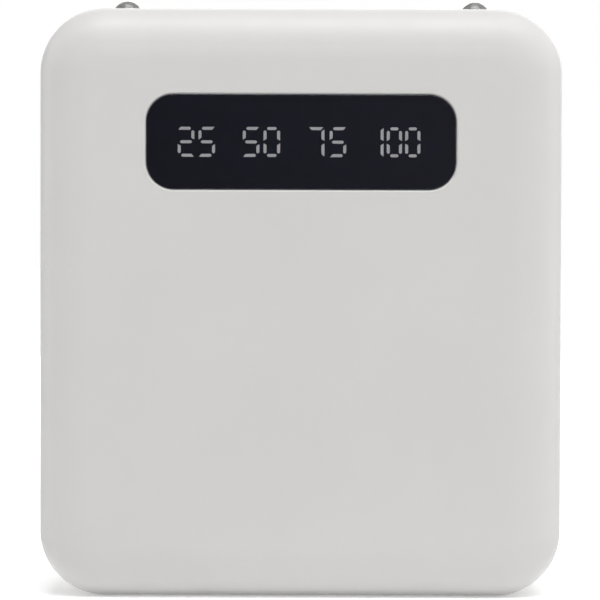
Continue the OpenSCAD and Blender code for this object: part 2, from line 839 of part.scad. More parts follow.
// Moulded tongue and rear block of a large socket
module usb_a_tongue(side) {
    color([0.93, 0.93, 0.92]) upright() translate([side * usb_a_x, 0, 0])
        difference() {
            union() {
                translate([-tongue_w / 2, block_y - seat, tongue_back])
                    cube([tongue_w, tongue_tip - block_y + seat, tongue_t]);
                translate([0, 0, usb_a_z]) rise(block_end, block_y)
                    round_rect(usb_a_w - 2 * usb_a_wall - 2 * seat, usb_a_h - 2 * usb_a_wall - 2 * seat, 0.4);
            }
            usb_a_contact_bars();
        }
}

module usb_a_contacts(side) {
    color([0.85, 0.68, 0.32]) upright() translate([side * usb_a_x, 0, 0]) usb_a_contact_bars();
}

// Shell of the small socket, a drawn oval tube with legs
module usb_c_shell() {
    color([0.75, 0.75, 0.76]) upright()
        difference() {
            union() {
                translate([0, 0, usb_c_z]) rise(mouth_y - usb_c_depth, mouth_y) stadium(usb_c_w, usb_c_h);
                shell_legs(usb_c_w, usb_c_depth, leg_inset / 2, usb_c_wall);
            }
            translate([0, 0, usb_c_z]) rise(mouth_y - usb_c_depth - over, mouth_y + over)
                stadium(usb_c_w - 2 * usb_c_wall, usb_c_h - 2 * usb_c_wall);
        }
}

// Small socket's tongue with its rear block, and its two rows of contacts
small_tongue = [6.69, 0.7];
small_block_y = mouth_y - usb_c_depth + 2.4;
small_tip = mouth_y - 0.6;
small_contact = [0.28, 3.4, 0.12];
small_pitch = 0.5;

module usb_c_contact_bars() {
    for (i = [-5.5 : 1 : 5.5], s = [-1, 1])
        translate([i * small_pitch, small_tip - 0.5 - small_contact[1] / 2, usb_c_z + s * small_tongue[1] / 2])
            cube(small_contact, center = true);
}

module usb_c_tongue() {
    color([0.1, 0.1, 0.1]) upright()
        difference() {
            union() {
                translate([-small_tongue[0] / 2, small_block_y - seat, usb_c_z - small_tongue[1] / 2])
                    cube([small_tongue[0], small_tip - small_block_y + seat, small_tongue[1]]);
                translate([0, 0, usb_c_z]) rise(mouth_y - usb_c_depth + seat, small_block_y)
                    stadium(usb_c_w - 2 * usb_c_wall - 2 * seat, usb_c_h - 2 * usb_c_wall - 2 * seat);
            }
            usb_c_contact_bars();
        }
}

module usb_c_contacts() {
    color([0.85, 0.68, 0.32]) upright() usb_c_contact_bars();
}

// Pins of a torch lamp: both run down from inside the lens and bend forward through the board, and one carries
// the cup that the light source sits in
module torch_pin_bars() {
    post_h = 3.2;
    for (s = [-1, 1]) {
        translate([s * lead_pitch / 2 - pin_t / 2, pin_bend_y, -pin_t / 2])
            cube([pin_t, lamp_flange + post_h - pin_bend_y, pin_t]);
        translate([s * lead_pitch / 2 - pin_t / 2, pin_bend_y, -pin_t / 2])
            cube([pin_t, pin_t, board_front + pin_tail + pin_t / 2]);
    }
    translate([-lead_pitch / 2 - pin_t / 2, lamp_flange + post_h - 0.9, -pin_t / 2])
        cube([lead_pitch / 2 + pin_t, 0.9, pin_t]);
    translate([0, lamp_flange + post_h + 0.5, 0]) rotate([90, 0, 0])
        difference() {
            cylinder(h = 1.2, d = 1.3);
            translate([0, 0, -over]) cylinder(h = over + 0.35, d = 0.8);
        }
}

module torch_pins(side) {
    color([0.78, 0.78, 0.78]) upright() translate([side * lamp_x, 0, 0]) torch_pin_bars();
}

// Clear lens of a torch lamp: flange, barrel and round dome turned in one
module torch_lens(side) {
    color([0.9, 0.93, 0.95, 0.4]) upright() translate([side * lamp_x, 0, 0])
        difference() {
            translate([0, lamp_flange, 0]) rotate([-90, 0, 0]) rotate_extrude()
                union() {
                    square([lamp_d / 2 + lamp_flange_rim, lamp_flange_t]);
                    square([lamp_d / 2, lamp_len - lamp_d / 2]);
                    translate([0, lamp_len - lamp_d / 2])
                        intersection() {
                            circle(d = lamp_d);
                            square(lamp_d);
                        }
                }
            torch_pin_bars();
        }
}

// Side button: the face with its finger hollow, the flange that keeps it in the cover and the stem that works
// the switch
module power_button() {
    face_x = side_x + button_proud;
    flange_back = button_flange_x - button_flange_t;
    color([0.80, 0.80, 0.79]) upright()
        difference() {
            union() {
                on_right(button_flange_x - seat)
                    linear_extrude(face_x - button_flange_x + seat) stadium(button_len, button_w);
                on_right(flange_back)
                    linear_extrude(button_flange_t)
                        stadium(button_len + 2 * button_flange_rim, button_w + 2 * button_flange_rim);
                translate([0, button_y, switch_z])
                    along_x(plunger_tip + seat, flange_back + seat, plunger_d - 0.4);
            }
            on_right(face_x) carry_stadium(button_len, button_w) face_bevel(rim_bevel);
            on_right(face_x + hollow_r - hollow_depth) sphere(r = hollow_r, $fn = 160);
        }
}

// Switch on the edge of the board: moulded body, pressed cover and plunger
module switch_body() {
    color([0.1, 0.1, 0.1]) upright() translate([0, button_y, switch_z])
        difference() {
            translate([switch_face - switch_depth, -switch_len / 2, -switch_h / 2])
                cube([switch_depth, switch_len, switch_h]);
            along_x(switch_face - plunger_root - button_travel - 0.2, switch_face + over, plunger_d + 2 * fit);
        }
}

module switch_cover() {
    color([0.75, 0.75, 0.76]) upright() translate([0, button_y, switch_z])
        difference() {
            translate([switch_face, -switch_len / 2, -switch_h / 2])
                cube([switch_cover_t, switch_len, switch_h]);
            along_x(switch_face - over, switch_face + switch_cover_t + over, plunger_d + 2 * fit);
        }
}

module switch_plunger() {
    color([0.15, 0.15, 0.15]) upright() translate([0, button_y, switch_z])
        along_x(switch_face - plunger_root, plunger_tip, plunger_d);
}

// Parts on the board's rear face, each given its middle and its size in width, height and depth
module board_block(x, y, size) {
    translate([x - size[0] / 2, y - size[1] / 2, part_z - size[2]]) cube(size);
}

part_row_y = board_bottom + 4.6;
inductor = [7, 7, 4];
inductor_y = part_row_y + 1;

// Shielded coil: a frame with cut corners and a round core in the middle
module boost_inductor() {
    cut = 1.1;
    half = inductor[0] / 2;
    frame_outline = [[-half + cut, -half], [half - cut, -half], [half, -half + cut], [half, half - cut],
        [half - cut, half], [-half + cut, half], [-half, half - cut], [-half, -half + cut]];
    color([0.25, 0.25, 0.26]) upright() translate([0, inductor_y, part_z - inductor[2]])
        difference() {
            linear_extrude(inductor[2]) polygon(frame_outline);
            translate([0, 0, -over])
                difference() {
                    cylinder(h = over + 0.6, d = inductor[0] - 1);
                    cylinder(h = over + 0.6, d = inductor[0] - 2);
                }
        }
}

module controller_chip() {
    color([0.09, 0.09, 0.1]) upright() board_block(-11.5, part_row_y, [5, 5, 0.9]);
}

module charger_chip() {
    color([0.09, 0.09, 0.1]) upright() board_block(11.5, part_row_y, [5, 4, 1.5]);
}

module board_capacitors() {
    color([0.72, 0.6, 0.45]) upright()
        for (s = [-1, 1], i = [0, 1, 2])
            board_block(s * 6.6, part_row_y - 2.4 + 2.4 * i, [1.6, 1.6, 1.4]);
}

// One round cell, with its rolled groove and raised contact at the top
module cell(index) {
    groove_y = can_top - cell_base - 2.6;
    color([0.35, 0.55, 0.75]) upright() translate([cell_xs[index], cell_base, 0]) rotate([-90, 0, 0])
        rotate_extrude()
            difference() {
                union() {
                    square([cell_d / 2, cell_len - nub_h]);
                    square([nub_d / 2, cell_len]);
                }
                translate([cell_d / 2 + 0.2, groove_y]) circle(0.8);
            }
}

// Paper rings round the raised contacts
module cell_insulators() {
    color([0.92, 0.92, 0.9]) upright()
        for (x = cell_xs)
            translate([x, 0, 0])
                difference() {
                    along_y(can_top + seat, can_top + ring_t, cell_d - 0.6);
                    along_y(can_top - over, can_top + ring_t + over, nub_d + 1.6);
                }
}

// Nickel strip across all cell ends at height y, slit at each weld, with a tab that turns along the side of the
// pack from tab_low to tab_high
module contact_strip(side, y, tab_low, tab_high) {
    far_end = cell_xs[cell_count - 1] + strip_reach;
    color([0.78, 0.77, 0.74]) upright() mirror([side > 0 ? 0 : 1, 0, 0])
        difference() {
            translate([0, 0, -strip_w / 2]) linear_extrude(strip_w) {
                translate([-far_end, y]) square([far_end + strip_side + strip_t, strip_t]);
                translate([strip_side, tab_low]) square([strip_t, tab_high - tab_low]);
            }
            for (x = cell_xs)
                translate([x - 2, y - over, -0.3]) cube([4, strip_t + 2 * over, 0.6]);
        }
}

// Smooth path through a list of points, with steps points to a span
function spline_point(a, b, c, d, t) =
    0.5 * (2 * b + (c - a) * t + (2 * a - 5 * b + 4 * c - d) * t * t + (3 * b - a - 3 * c + d) * t * t * t);
function smooth_path(p, steps) = concat([
    for (i = [0 : len(p) - 2], k = [0 : steps - 1])
        spline_point(p[max(i - 1, 0)], p[i], p[i + 1], p[min(i + 2, len(p) - 1)], k / steps)
], [p[len(p) - 1]]);
function unit(v) = v / norm(v);
function heading(p, i) = unit(p[min(i + 1, len(p) - 1)] - p[max(i - 1, 0)]);
function ring(p, i, r, n) =
    let (t = heading(p, i), a = unit(cross(t, [0, 0, 1])), b = cross(t, a))
    [for (k = [0 : n - 1]) p[i] + r * (cos(360 * k / n) * a + sin(360 * k / n) * b)];

// Round lead swept along a path
module swept_lead(p, d) {
    n = 8;
    count = len(p);
    points = [for (i = [0 : count - 1]) each ring(p, i, d / 2, n)];
    side_a = [for (i = [0 : count - 2], k = [0 : n - 1]) [i * n + k, i * n + (k + 1) % n, (i + 1) * n + k]];
    side_b = [for (i = [0 : count - 2], k = [0 : n - 1])
        [i * n + (k + 1) % n, (i + 1) * n + (k + 1) % n, (i + 1) * n + k]];
    start_cap = [[for (k = [0 : n - 1]) n - 1 - k]];
    end_cap = [[for (k = [0 : n - 1]) (count - 1) * n + k]];
    polyhedron(points, concat(side_a, side_b, start_cap, end_cap), convexity = 4);
}

// A battery lead runs up the outside of its strip's tab, bends in over the cells and lies along the board's
// lower edge
lead_x = strip_side + strip_t + seat + lead_d / 2;
lead_z = part_z - lead_d / 2 - seat;
lead_y = board_bottom + 0.8;
lead_route = [
    [lead_x, strip_top - 10, 0],
    [lead_x, strip_top - 5, 0],
    [lead_x + 0.3, strip_top + 0.3, lead_z * 0.2],
    [lead_x - 1.6, lead_y, lead_z * 0.7],
    [lead_x - 5, lead_y, lead_z],
    [lead_x - 9, lead_y, lead_z]
];

module battery_lead(side, shade) {
    color(shade) upright() swept_lead(smooth_path([for (p = lead_route) [side * p[0], p[1], p[2]]], 4), lead_d);
}

// Foam strips between the cells and the rear cover
module foam_pads() {
    foam_t = inner_front_z - cell_d / 2 - seat;
    color([0.2, 0.2, 0.2]) upright()
        for (x = cell_xs, y = foam_ys)
            translate([x - foam_w / 2, y, -inner_front_z]) cube([foam_w, foam_len, foam_t]);
}

// Stiff paper between the cells and the board
module insulation_sheet() {
    half_w = pack_side - 2;
    color([0.85, 0.78, 0.6]) upright()
        translate([-half_w, sheet_y, -cell_d / 2]) cube([2 * half_w, sheet_t, cell_d / 2 + board_rear]);
}

front_cover();
rear_cover();
display_window();
window_adhesive();
display_mask();
display_diffuser();
display_reflector();
display_leds();
main_board();
board_screws();
usb_a_shell(-1);  // left_usb_a_shell
usb_a_tongue(-1);  // left_usb_a_tongue
usb_a_contacts(-1);  // left_usb_a_contacts
usb_a_shell(1);  // right_usb_a_shell
usb_a_tongue(1);  // right_usb_a_tongue
usb_a_contacts(1);  // right_usb_a_contacts
usb_c_shell();
usb_c_tongue();
usb_c_contacts();
torch_lens(-1);  // left_torch_lens
torch_pins(-1);  // left_torch_pins
torch_lens(1);  // right_torch_lens
torch_pins(1);  // right_torch_pins
power_button();
switch_body();
switch_cover();
switch_plunger();
boost_inductor();
controller_chip();
charger_chip();
board_capacitors();
cell(0);  // cell_far_left
cell(1);  // cell_left
cell(2);  // cell_right
cell(3);  // cell_far_right
cell_insulators();
contact_strip(1, cell_top, strip_top - tab_len, strip_top);  // positive_strip
contact_strip(-1, cell_base - strip_t, cell_base - strip_t, strip_top);  // negative_strip
battery_lead(1, [0.75, 0.1, 0.08]);  // positive_lead
battery_lead(-1, [0.06, 0.06, 0.06]);  // negative_lead
foam_pads();
insulation_sheet();
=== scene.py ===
import math

import bmesh
import bpy
import numpy as np
from mathutils import Matrix, Vector


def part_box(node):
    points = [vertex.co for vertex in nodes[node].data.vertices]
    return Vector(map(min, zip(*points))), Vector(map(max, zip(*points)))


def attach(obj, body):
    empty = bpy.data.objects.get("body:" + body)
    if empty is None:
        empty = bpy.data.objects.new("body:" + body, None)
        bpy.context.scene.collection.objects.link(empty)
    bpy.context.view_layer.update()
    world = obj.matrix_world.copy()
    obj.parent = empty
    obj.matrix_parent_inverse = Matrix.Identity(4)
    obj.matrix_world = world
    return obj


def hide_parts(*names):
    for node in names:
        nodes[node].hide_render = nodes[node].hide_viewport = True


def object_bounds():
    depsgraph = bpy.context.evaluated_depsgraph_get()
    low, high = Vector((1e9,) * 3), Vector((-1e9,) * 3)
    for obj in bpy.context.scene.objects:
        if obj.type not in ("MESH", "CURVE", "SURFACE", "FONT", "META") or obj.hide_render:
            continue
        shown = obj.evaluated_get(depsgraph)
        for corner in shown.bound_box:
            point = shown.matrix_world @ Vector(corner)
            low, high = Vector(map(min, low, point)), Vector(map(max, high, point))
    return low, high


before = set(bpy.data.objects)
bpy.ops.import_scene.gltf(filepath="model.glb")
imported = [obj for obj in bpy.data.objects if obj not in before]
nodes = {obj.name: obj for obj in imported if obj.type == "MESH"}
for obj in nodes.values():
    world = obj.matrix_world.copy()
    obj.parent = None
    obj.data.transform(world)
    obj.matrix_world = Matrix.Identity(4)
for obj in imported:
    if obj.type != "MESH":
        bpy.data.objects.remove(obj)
cad_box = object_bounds()

# Lengths are in metres and angles in degrees

MM = 0.001
MERGE = 1e-7
NO_LENGTH = 1e-8


# Surfaces

def weld(mesh):
    """Merges the points that lie in one place, such as those of a pole or of a closing row, and turns every
    face outwards."""
    work = bmesh.new()
    work.from_mesh(mesh)
    bmesh.ops.remove_doubles(work, verts=work.verts, dist=MERGE)
    bmesh.ops.dissolve_degenerate(work, edges=work.edges, dist=NO_LENGTH)
    bmesh.ops.recalc_face_normals(work, faces=work.faces)
    work.to_mesh(mesh)
    work.free()


def placed(name, data):
    """New object at the origin that holds a mesh, a lamp or a camera."""
    thing = bpy.data.objects.new(name, data)
    bpy.context.scene.collection.objects.link(thing)
    return thing


def surface(name, points, body, sharp=35):
    """Piece from a grid of points: neighbouring rows and neighbouring columns span its faces, and the last
    column joins the first. Rows that shrink to a point close the ends. Edges that bend by more than sharp
    degrees stay crisp."""
    rows, columns = points.shape[:2]
    row, column = np.meshgrid(np.arange(rows - 1), np.arange(columns), indexing="ij")
    after = (column + 1) % columns
    corners = [row * columns + column, row * columns + after, (row + 1) * columns + after,
               (row + 1) * columns + column]
    faces = np.stack(corners, axis=-1).reshape(-1, 4)
    mesh = bpy.data.meshes.new(name)
    mesh.from_pydata(points.reshape(-1, 3).tolist(), [], faces.tolist())
    weld(mesh)
    mesh.shade_smooth()
    mesh.set_sharp_from_angle(angle=math.radians(sharp))
    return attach(placed(name, mesh), body)


def arc(centre, radius, start, end, count):
    """Points of a circular arc: centre plus radius times the cosine and sine of each angle in degrees."""
    angle = np.radians(np.linspace(start, end, count))
    return np.stack([centre[0] + radius * np.cos(angle), centre[1] + radius * np.sin(angle)], axis=-1)


def turned(profile, centre, columns=96):
    """A profile of radius and height turned about a vertical axis: each point goes round the axis at its own
    radius and keeps its height."""
    angle = np.linspace(0, 2 * np.pi, columns, endpoint=False)
    radius, height = profile[:, :1], profile[:, 1:]
    x = centre[0] + radius * np.cos(angle)
    y = centre[1] + radius * np.sin(angle)
    return np.stack([x, y, height + 0 * angle], axis=-1)


def round_outline(half_w, half_h, radius, per_corner):
    """Outline of a rounded rectangle as its corner centres and the unit directions out of them, so that a
    point is centre plus a radius times direction."""
    turns = [np.linspace(90 * corner, 90 * corner + 90, per_corner) for corner in range(4)]
    angle = np.radians(np.concatenate(turns))
    quarter = np.repeat(np.arange(4), per_corner)
    sign_x = np.where((quarter == 0) | (quarter == 3), 1, -1)
    sign_y = np.where(quarter < 2, 1, -1)
    middle = np.stack([sign_x * (half_w - radius), sign_y * (half_h - radius)], axis=-1)
    return middle, np.stack([np.cos(angle), np.sin(angle)], axis=-1)


def carried(outline, radius, profile):
    """A profile carried round an outline: each profile point gives how far it lies inside the outline and how
    high it stands. Past the corner radius the whole outline shrinks in proportion, down to its middle."""
    middle, out = outline
    inset, height = profile[:, 0], profile[:, 1]
    round_part = np.clip(radius - inset, 0, None)[:, None, None]
    span = np.abs(middle).min()
    left = np.clip(1 - np.clip(inset - radius, 0, None) / span, 0, 1)[:, None, None]
    flat = middle[None] * left + out[None] * round_part
    return np.concatenate([flat, np.broadcast_to(height[:, None, None], flat.shape[:2] + (1,))], axis=-1)


# Finishes

NOISE_LOW, NOISE_HIGH = 0.3, 0.7


class Network:
    """The nodes of one material or of the world, and short ways to add and join them."""

    def __init__(self, tree):
        self.tree = tree

    def add(self, kind, **settings):
        node = self.tree.nodes.new("ShaderNode" + kind)
        for name, value in settings.items():
            setattr(node, name, value)
        return node

    def feed(self, source, socket):
        """Joins a node's output to a socket, or sets a plain number or colour there."""
        if isinstance(source, bpy.types.NodeSocket):
            self.tree.links.new(source, socket)
        elif isinstance(source, tuple):
            socket.default_value = (*source, 1)
        else:
            socket.default_value = source

    def axis(self, place, letter):
        """One coordinate of a place or a direction."""
        split = self.add("SeparateXYZ")
        self.feed(place, split.inputs[0])
        return split.outputs[letter]

    def spread(self, source, low, high, to_low=0.0, to_high=1.0, kind="LINEAR"):
        """Maps the range low to high of a value onto to_low to to_high, and holds it there outside."""
        spread = self.add("MapRange", interpolation_type=kind)
        for socket, value in zip(("From Min", "From Max", "To Min", "To Max"), (low, high, to_low, to_high)):
            spread.inputs[socket].default_value = value
        self.feed(source, spread.inputs["Value"])
        return spread.outputs[0]

    def swing(self, source, to_low=0.0, to_high=1.0):
        """Maps the usual range of a noise onto to_low to to_high."""
        return self.spread(source, NOISE_LOW, NOISE_HIGH, to_low, to_high)

    def sum(self, kind, first, second=0.0):
        """Two numbers put together by one sum, such as MULTIPLY or MAXIMUM."""
        combine = self.add("Math", operation=kind)
        self.feed(first, combine.inputs[0])
        self.feed(second, combine.inputs[1])
        return combine.outputs[0]

    def between(self, factor, first, second):
        """Number that goes from first to second as a factor goes from 0 to 1."""
        mix = self.add("Mix", data_type="FLOAT")
        for place, value in ((0, factor), (2, first), (3, second)):
            self.feed(value, mix.inputs[place])
        return mix.outputs[0]

    def mixed(self, factor, first, second):
        """Colour between first and second, each a fixed colour or another node's."""
        mix = self.add("Mix", data_type="RGBA")
        for name, value in (("Factor", factor), ("A", first), ("B", second)):
            self.feed(value, mix.inputs[name])
        return mix.outputs["Result"]


class Finish(Network):
    """One material: a Principled shader and the texture nodes that vary it, all on Object coordinates."""

    def __init__(self, name, **sockets):
        self.material = bpy.data.materials.new(name)
        self.material.use_nodes = True
        super().__init__(self.material.node_tree)
        self.shader = self.tree.nodes["Principled BSDF"]
        for socket, value in sockets.items():
            self.shader.inputs[socket.replace("_", " ")].default_value = value
        self.place = self.add("TexCoord").outputs["Object"]

    def along(self, letter):
        """One of the object's coordinates, in metres."""
        return self.axis(self.place, letter)

    def noise(self, size, detail=2.0, stretch=(1, 1, 1)):
        """Smooth noise whose grains are about size metres across, and longer where stretch is small."""
        mapping = self.add("Mapping")
        mapping.inputs["Scale"].default_value = stretch
        self.feed(self.place, mapping.inputs["Vector"])
        noise = self.add("TexNoise")
        noise.inputs["Scale"].default_value = 1 / size
        noise.inputs["Detail"].default_value = detail
        self.feed(mapping.outputs[0], noise.inputs["Vector"])
        return noise.outputs["Fac"]

    def cells(self, size):
        """Distance from the middle of the nearest of many random cells, about size metres across."""
        cells = self.add("TexVoronoi")
        cells.inputs["Scale"].default_value = 1 / size
        self.feed(self.place, cells.inputs["Vector"])
        return cells.outputs["Distance"]

    def colour(self, source):
        self.feed(source, self.shader.inputs["Base Color"])

    def rough(self, source):
        self.feed(source, self.shader.inputs["Roughness"])

    def metal(self, source):
        self.feed(source, self.shader.inputs["Metallic"])

    def glow(self, source):
        self.feed(source, self.shader.inputs["Emission Color"])

    def bump(self, source, depth):
        """Raises and sinks the surface by depth metres along a height from 0 to 1."""
        bump = self.add("Bump")
        bump.inputs["Distance"].default_value = depth
        self.feed(source, bump.inputs["Height"])
        self.feed(bump.outputs[0], self.shader.inputs["Normal"])

    def wear(self, *pieces):
        """Puts this finish on pieces, in place of what they had."""
        for piece in pieces:
            piece.data.materials.clear()
            piece.data.materials.append(self.material)


def moulded(name, light, dark, roughness, grain=0.35 * MM, depth=0.008 * MM):
    """Moulded plastic: a fine spark-eroded grain, a slow drift of colour and a patchy sheen."""
    hollow, patch = 0.94, 0.06
    finish = Finish(name)
    drift = finish.noise(14 * MM, 3)
    speck = finish.noise(grain, 2)
    slow = finish.mixed(finish.swing(drift), dark, light)
    deep = tuple(hollow * level for level in dark)
    finish.colour(finish.mixed(finish.spread(speck, 0.35, 0.62, 1, 0.75), deep, slow))
    finish.rough(finish.swing(finish.noise(3 * MM, 3), roughness - patch, roughness + patch))
    finish.bump(speck, depth)
    return finish


def plated(name, light, dark, roughness, along=(1, 1, 0.06)):
    """Plated sheet metal: fine drawing marks along one direction, faint stains and uneven polish."""
    finish = Finish(name, Metallic=1.0)
    marks = finish.noise(0.12 * MM, 3, along)
    stain = finish.noise(2.5 * MM, 4)
    finish.colour(finish.mixed(finish.spread(stain, 0.35, 0.7), light, dark))
    finish.rough(finish.swing(marks, roughness - 0.07, roughness + 0.1))
    finish.bump(marks, 0.004 * MM)
    return finish


def fibrous(name, light, dark):
    """Stiff paper: matted fibres that lie mostly upright, with a patchy dullness."""
    finish = Finish(name)
    fibres = finish.noise(0.25 * MM, 4, (1, 1, 0.2))
    finish.colour(finish.mixed(finish.spread(fibres, 0.35, 0.65), dark, light))
    finish.rough(finish.swing(finish.noise(1 * MM, 2), 0.75, 0.92))
    finish.bump(fibres, 0.02 * MM)
    return finish


def spongy(name, light, dark, pore):
    """Closed-cell foam: round pores with darker hollows."""
    finish = Finish(name)
    pores = finish.cells(pore)
    finish.colour(finish.mixed(finish.spread(pores, 0.1, 0.6), dark, light))
    finish.rough(finish.swing(finish.noise(2 * MM, 2), 0.8, 0.95))
    finish.bump(pores, 0.06 * MM)
    return finish


def shell_finish():
    """Pale matt housing: the moulded grain, with the base and the rims of the sockets a little rubbed and a
    trace of dust along the seam between the covers."""
    light, dark, rubbed = (0.668, 0.660, 0.646), (0.648, 0.641, 0.629), (0.574, 0.568, 0.551)
    far_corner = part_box("front_cover")[1]
    top, seam_y = far_corner.z, far_corner.y
    rub_colour, rub_polish = 0.35, 0.1
    finish = Finish("pale_housing")
    slow = finish.mixed(finish.swing(finish.noise(22 * MM, 3)), dark, light)
    base = finish.spread(finish.along("Z"), 0.2 * MM, 2.2 * MM, 1, 0)
    rim = finish.spread(finish.along("Z"), top - 0.9 * MM, top - 0.2 * MM)
    near = finish.spread(finish.sum("ABSOLUTE", finish.along("Y")), 3.2 * MM, 5 * MM, 1, 0)
    patches = finish.spread(finish.noise(1.8 * MM, 4), 0.48, 0.68)
    handled = finish.sum("MULTIPLY", finish.sum("MAXIMUM", base, finish.sum("MULTIPLY", rim, near)), patches)
    off_seam = finish.sum("ABSOLUTE", finish.sum("SUBTRACT", finish.along("Y"), seam_y))
    dust = finish.spread(off_seam, 0.1 * MM, 0.3 * MM, 0.8, 0)
    worn = finish.sum("MAXIMUM", handled, dust)
    finish.colour(finish.mixed(finish.sum("MULTIPLY", worn, rub_colour), slow, rubbed))
    sheen = finish.swing(finish.noise(4 * MM, 3), 0.43, 0.52)
    finish.rough(finish.sum("SUBTRACT", sheen, finish.sum("MULTIPLY", handled, rub_polish)))
    finish.bump(finish.noise(0.3 * MM, 2), 0.006 * MM)
    return finish


def pane_finish():
    """Smoked acrylic: dark see-through tint, polished, with faint wiping marks in its gloss."""
    finish = Finish("smoked_pane", IOR=1.49, Transmission_Weight=1.0)
    smear = finish.noise(6 * MM, 4, (0.35, 1, 1))
    finish.colour(finish.mixed(finish.swing(smear), (0.30, 0.30, 0.33), (0.34, 0.34, 0.37)))
    finish.rough(finish.spread(smear, 0.35, 0.75, 0.015, 0.05))
    return finish


def resin_finish():
    """Clear cast resin: nearly white, with faint flow lines in its gloss."""
    finish = Finish("clear_resin", IOR=1.53, Transmission_Weight=1.0)
    flow = finish.noise(1.2 * MM, 3, (1, 1, 0.3))
    finish.colour(finish.mixed(finish.swing(flow), (0.93, 0.94, 0.95), (0.97, 0.97, 0.97)))
    finish.rough(finish.swing(flow, 0.01, 0.04))
    return finish


def glowing_film_finish():
    """Milky film with a painted glow: it emits its own colour in place of the light of the lamps behind it,
    evenly bright, with a slight mottle.
    """
    finish = Finish("milky_film_painted_glow", Roughness=0.6, Emission_Strength=0.93)
    mottle = finish.swing(finish.noise(1.5 * MM, 3))
    milk = finish.mixed(mottle, (0.93, 0.92, 0.87), (0.99, 0.98, 0.93))
    finish.colour(milk)
    # Painted glow: the film's colour is also its emission, standing in for the light of the display lamps
    # behind it.
    finish.glow(milk)
    finish.bump(finish.noise(0.2 * MM, 2), 0.004 * MM)
    return finish


def board_finish():
    """Circuit board: green lacquer over copper tracks that show as paler raised lines, with speckled
    laminate."""
    finish = Finish("green_board", Coat_Weight=0.4, Coat_Roughness=0.15)
    bands = finish.add("TexWave", bands_direction="DIAGONAL")
    for socket, value in (("Scale", 160), ("Distortion", 14), ("Detail", 0), ("Detail Scale", 0.6)):
        bands.inputs[socket].default_value = value
    finish.feed(finish.place, bands.inputs["Vector"])
    tracks = finish.spread(bands.outputs["Fac"], 0.72, 0.8)
    speckle = finish.swing(finish.noise(0.4 * MM, 3))
    lacquer = finish.mixed(speckle, (0.006, 0.07, 0.022), (0.008, 0.09, 0.03))
    finish.colour(finish.mixed(tracks, lacquer, (0.02, 0.16, 0.055)))
    finish.rough(finish.spread(speckle, 0, 1, 0.28, 0.4))
    finish.bump(tracks, 0.03 * MM)
    return finish


def cell_finish():
    """Cell: a satin shrink sleeve with fine draw lines, and bare nickel at the raised contact and the can's
    rim."""
    sleeve_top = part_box("cell_left")[1].z - 1.05 * MM
    finish = Finish("cell_sleeve")
    bare = finish.spread(finish.along("Z"), sleeve_top, sleeve_top + 0.05 * MM)
    lines = finish.noise(0.5 * MM, 3, (1, 1, 0.08))
    sleeve = finish.mixed(finish.swing(lines), (0.09, 0.24, 0.49), (0.115, 0.28, 0.54))
    finish.colour(finish.mixed(bare, sleeve, (0.66, 0.65, 0.62)))
    finish.metal(bare)
    finish.rough(finish.swing(lines, 0.28, 0.42))
    finish.bump(lines, 0.01 * MM)
    return finish


def display_lamp_finish():
    """Small surface lamp: white ceramic body with a yellow phosphor face."""
    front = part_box("display_leds")[0].y
    finish = Finish("display_lamp")
    face = finish.spread(finish.along("Y"), front + 0.02 * MM, front + 0.06 * MM, 1, 0)
    grain = finish.noise(0.15 * MM, 3)
    body = finish.mixed(finish.swing(grain), (0.78, 0.77, 0.74), (0.86, 0.86, 0.84))
    finish.colour(finish.mixed(face, body, (0.85, 0.62, 0.10)))
    finish.rough(finish.swing(grain, 0.3, 0.5))
    finish.bump(grain, 0.01 * MM)
    return finish


def phosphor_finish():
    """Yellow phosphor in clear binder: coarse grains under a glossy skin."""
    finish = Finish("phosphor", Coat_Weight=0.6, Coat_Roughness=0.08)
    grain = finish.cells(0.06 * MM)
    finish.colour(finish.mixed(finish.spread(grain, 0.1, 0.7), (0.86, 0.76, 0.40), (0.76, 0.62, 0.24)))
    finish.rough(finish.spread(grain, 0, 0.7, 0.35, 0.6))
    finish.bump(grain, 0.01 * MM)
    return finish


housing = shell_finish()
pane = pane_finish()
resin = resin_finish()
phosphor = phosphor_finish()
nickel = plated("bright_nickel", (0.70, 0.69, 0.67), (0.58, 0.57, 0.54), 0.26)
strip_nickel = plated("strip_nickel", (0.64, 0.62, 0.58), (0.54, 0.52, 0.47), 0.34, (0.06, 1, 1))
zinc = plated("zinc_steel", (0.46, 0.46, 0.48), (0.36, 0.36, 0.37), 0.36, (1, 0.1, 1))
tinned = plated("tinned_steel", (0.66, 0.66, 0.66), (0.55, 0.55, 0.54), 0.3)
gold = plated("gold_plate", (0.83, 0.58, 0.20), (0.70, 0.46, 0.14), 0.24)
black_moulding = moulded("black_moulding", (0.020, 0.020, 0.022), (0.014, 0.014, 0.016), 0.42)
mask_black = moulded("mask_black", (0.016, 0.018, 0.090), (0.012, 0.014, 0.076), 0.62, 0.2 * MM)
white_moulding = moulded("white_moulding", (0.80, 0.80, 0.77), (0.74, 0.74, 0.71), 0.38)
chip_epoxy = moulded("chip_epoxy", (0.018, 0.018, 0.020), (0.011, 0.011, 0.013), 0.5, 0.12 * MM)
ferrite = moulded("grey_ferrite", (0.055, 0.055, 0.058), (0.038, 0.038, 0.041), 0.6, 0.2 * MM, 0.015 * MM)
fired_tan = moulded("fired_tan", (0.46, 0.31, 0.17), (0.38, 0.25, 0.13), 0.36, 0.15 * MM)
red_cover = moulded("red_lead_cover", (0.50, 0.012, 0.008), (0.42, 0.009, 0.006), 0.36)
black_cover = moulded("black_lead_cover", (0.010, 0.010, 0.010), (0.006, 0.006, 0.006), 0.36)
ring_paper = fibrous("ring_paper", (0.80, 0.80, 0.76), (0.68, 0.67, 0.62))
tan_paper = fibrous("tan_paper", (0.66, 0.55, 0.31), (0.54, 0.44, 0.24))
foam = spongy("grey_foam", (0.045, 0.045, 0.045), (0.016, 0.016, 0.016), 0.5 * MM)
tape = spongy("dark_tape", (0.020, 0.020, 0.020), (0.009, 0.009, 0.009), 0.25 * MM)

